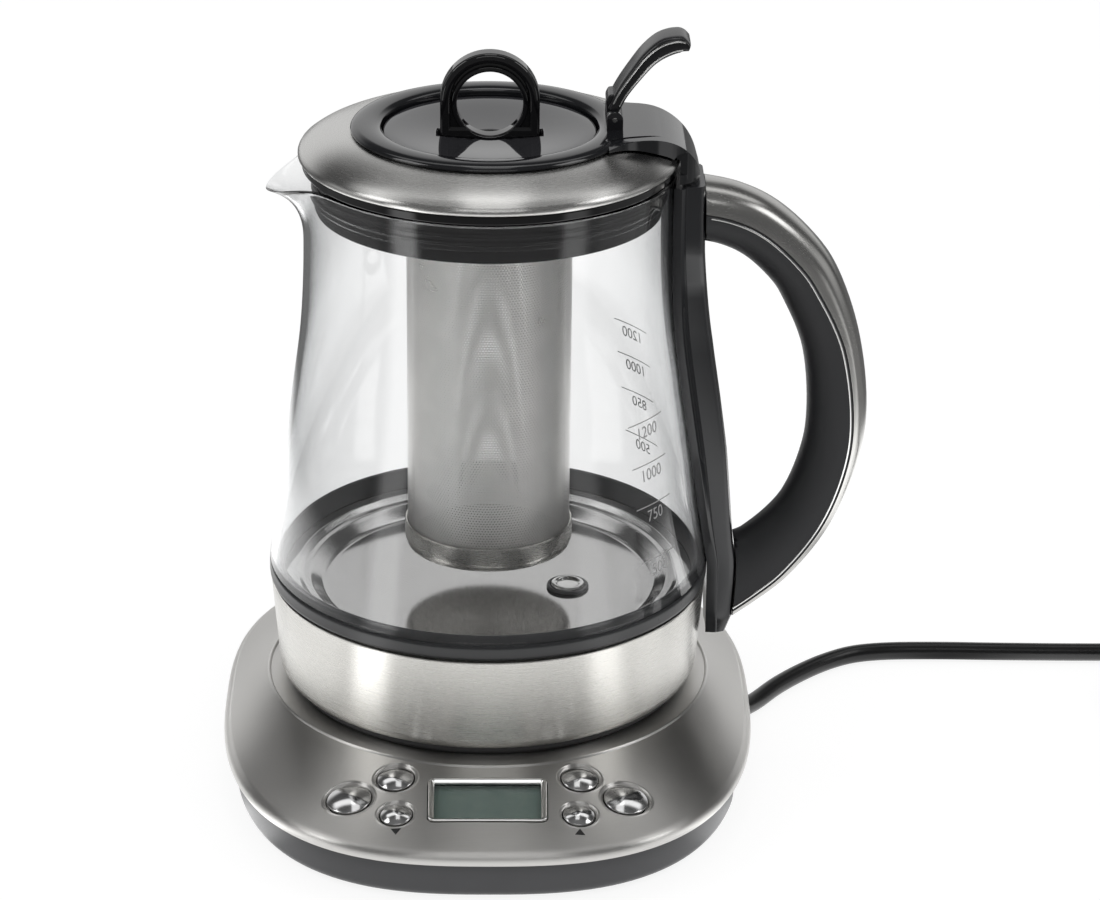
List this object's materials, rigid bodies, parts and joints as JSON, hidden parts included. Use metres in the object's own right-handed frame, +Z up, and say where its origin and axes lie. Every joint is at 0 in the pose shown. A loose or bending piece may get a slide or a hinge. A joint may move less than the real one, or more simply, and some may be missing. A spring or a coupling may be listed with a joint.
{
  "type": "automatic tea maker",
  "caption": "Glass tea maker jug with steel foot, D-handle, lift-off lid with thumb lever and hanging strainer, on a heated swivel base with buttons, display and mains cord.",
  "frame": {"origin": "middle of the footprint of the object without its cord, on the table", "axes": "+Z up, -Y towards the control panel, +X towards the handle, -X towards the spout"},
  "size_m": [0.4379, 0.2296, 0.2682],
  "materials": {
    "brushed_steel": "satin brushed",
    "bright_steel": "polished",
    "strainer_steel": "fine perforated",
    "screw_steel": "bright zinc",
    "button_chrome": "mirror",
    "gloss_black": "gloss",
    "slate_plastic": "semi-gloss",
    "grip_plastic": "matt, fine grain",
    "grey_plastic": "satin",
    "inner_plastic": "matt",
    "rubber": "matt",
    "cord_black": "satin",
    "silicone": "matt",
    "board_green": "solder mask",
    "cast_aluminium": "as cast",
    "display_grey": "liquid crystal",
    "clear_glass": "clear",
    "clear_pane": "clear"
  },
  "bodies": {
    "base": {"base_cover": "brushed_steel", "base_housing": "grey_plastic", "foot_front_left": "rubber", "foot_front_right": "rubber", "foot_rear_right": "rubber", "foot_rear_left": "rubber", "connector_carrier": "inner_plastic", "base_screw_1": "screw_steel", "base_screw_2": "screw_steel", "base_screw_3": "screw_steel", "base_screw_4": "screw_steel", "base_connector": "gloss_black", "display_frame": "bright_steel", "display_window": "clear_pane", "lcd_module": "display_grey", "control_board": "board_green", "strain_relief": "rubber", "cord_coil": "cord_black", "cord_lead": "cord_black", "cord_tail": "cord_black", "mains_plug": "cord_black"},
    "sleeve": {"socket_sleeve": "inner_plastic"},
    "jug": {"glass_jug": "clear_glass", "glass_gasket": "silicone", "steel_shell": "brushed_steel", "heater_dish": "bright_steel", "heat_plate": "cast_aluminium", "heating_element": "cast_aluminium", "temperature_sensor": "bright_steel", "sensor_seal": "silicone", "jug_connector": "gloss_black", "bottom_cover": "inner_plastic", "bottom_screw_1": "screw_steel", "bottom_screw_2": "screw_steel", "bottom_screw_3": "screw_steel", "handle_strap": "slate_plastic", "handle_grip": "grip_plastic", "handle_shell": "brushed_steel", "handle_screw_1": "screw_steel", "handle_screw_2": "screw_steel"},
    "lid": {"lid_dome": "brushed_steel", "lid_ring": "gloss_black", "lid_inner": "inner_plastic", "lid_seal": "silicone", "lever_pin": "bright_steel", "lever_spring": "bright_steel"},
    "infuser": {"strainer_tube": "strainer_steel", "strainer_collar": "bright_steel", "strainer_base": "bright_steel"},
    "cap_ring": {"cap_seal": "silicone"},
    "cap": {"cap_disc": "slate_plastic", "cap_loop": "gloss_black"},
    "lever": {"thumb_lever": "slate_plastic"},
    "boil": {"boil_button": "button_chrome"},
    "start": {"start_button": "button_chrome"},
    "time": {"time_button": "button_chrome"},
    "mode": {"mode_button": "button_chrome"},
    "down": {"down_button": "button_chrome"},
    "up": {"up_button": "button_chrome"}
  },
  "joints": [
    {"name": "jug_swivel", "type": "hinge", "parent": "base", "child": "sleeve", "pos_m": [-0.0192, 0.0098, 0.03], "axis": [0, 0, 1], "continuous": true},
    {"name": "jug_lift", "type": "slide", "parent": "sleeve", "child": "jug", "axis": [0, 0, 1], "range_m": [0, 0.08]},
    {"name": "lid_lift", "type": "slide", "parent": "jug", "child": "lid", "axis": [0, 0, 1], "range_m": [0, 0.16]},
    {"name": "infuser_lift", "type": "slide", "parent": "lid", "child": "infuser", "axis": [0, 0, 1], "range_m": [0, 0.16]},
    {"name": "cap_lift", "type": "slide", "parent": "infuser", "child": "cap_ring", "axis": [0, 0, 1], "range_m": [0, 0.04]},
    {"name": "cap_turn", "type": "hinge", "parent": "cap_ring", "child": "cap", "pos_m": [-0.0192, 0.0098, 0.23], "axis": [0, 0, 1], "range_deg": [0, 30]},
    {"name": "lever_press", "type": "hinge", "parent": "lid", "child": "lever", "pos_m": [0.0232, 0.0098, 0.2403], "axis": [0, 1, 0], "range_deg": [0, 22], "stiffness_Nm_per_rad": 0.15, "springref_deg": -11.46},
    {"name": "boil_press", "type": "slide", "parent": "base", "child": "boil", "axis": [0.1084, 0.1762, -0.9784], "range_m": [0, 0.0009], "stiffness_N_per_m": 600, "springref_m": -0.0004},
    {"name": "start_press", "type": "slide", "parent": "base", "child": "start", "axis": [-0.1084, 0.1762, -0.9784], "range_m": [0, 0.0009], "stiffness_N_per_m": 600, "springref_m": -0.0004},
    {"name": "time_press", "type": "slide", "parent": "base", "child": "time", "axis": [0.0729, 0.1881, -0.9794], "range_m": [0, 0.0009], "stiffness_N_per_m": 600, "springref_m": -0.0004},
    {"name": "mode_press", "type": "slide", "parent": "base", "child": "mode", "axis": [-0.0729, 0.1881, -0.9794], "range_m": [0, 0.0009], "stiffness_N_per_m": 600, "springref_m": -0.0004},
    {"name": "down_press", "type": "slide", "parent": "base", "child": "down", "axis": [0.0563, 0.1935, -0.9795], "range_m": [0, 0.0009], "stiffness_N_per_m": 600, "springref_m": -0.0004},
    {"name": "up_press", "type": "slide", "parent": "base", "child": "up", "axis": [-0.0563, 0.1935, -0.9795], "range_m": [0, 0.0009], "stiffness_N_per_m": 600, "springref_m": -0.0004}
  ]
}
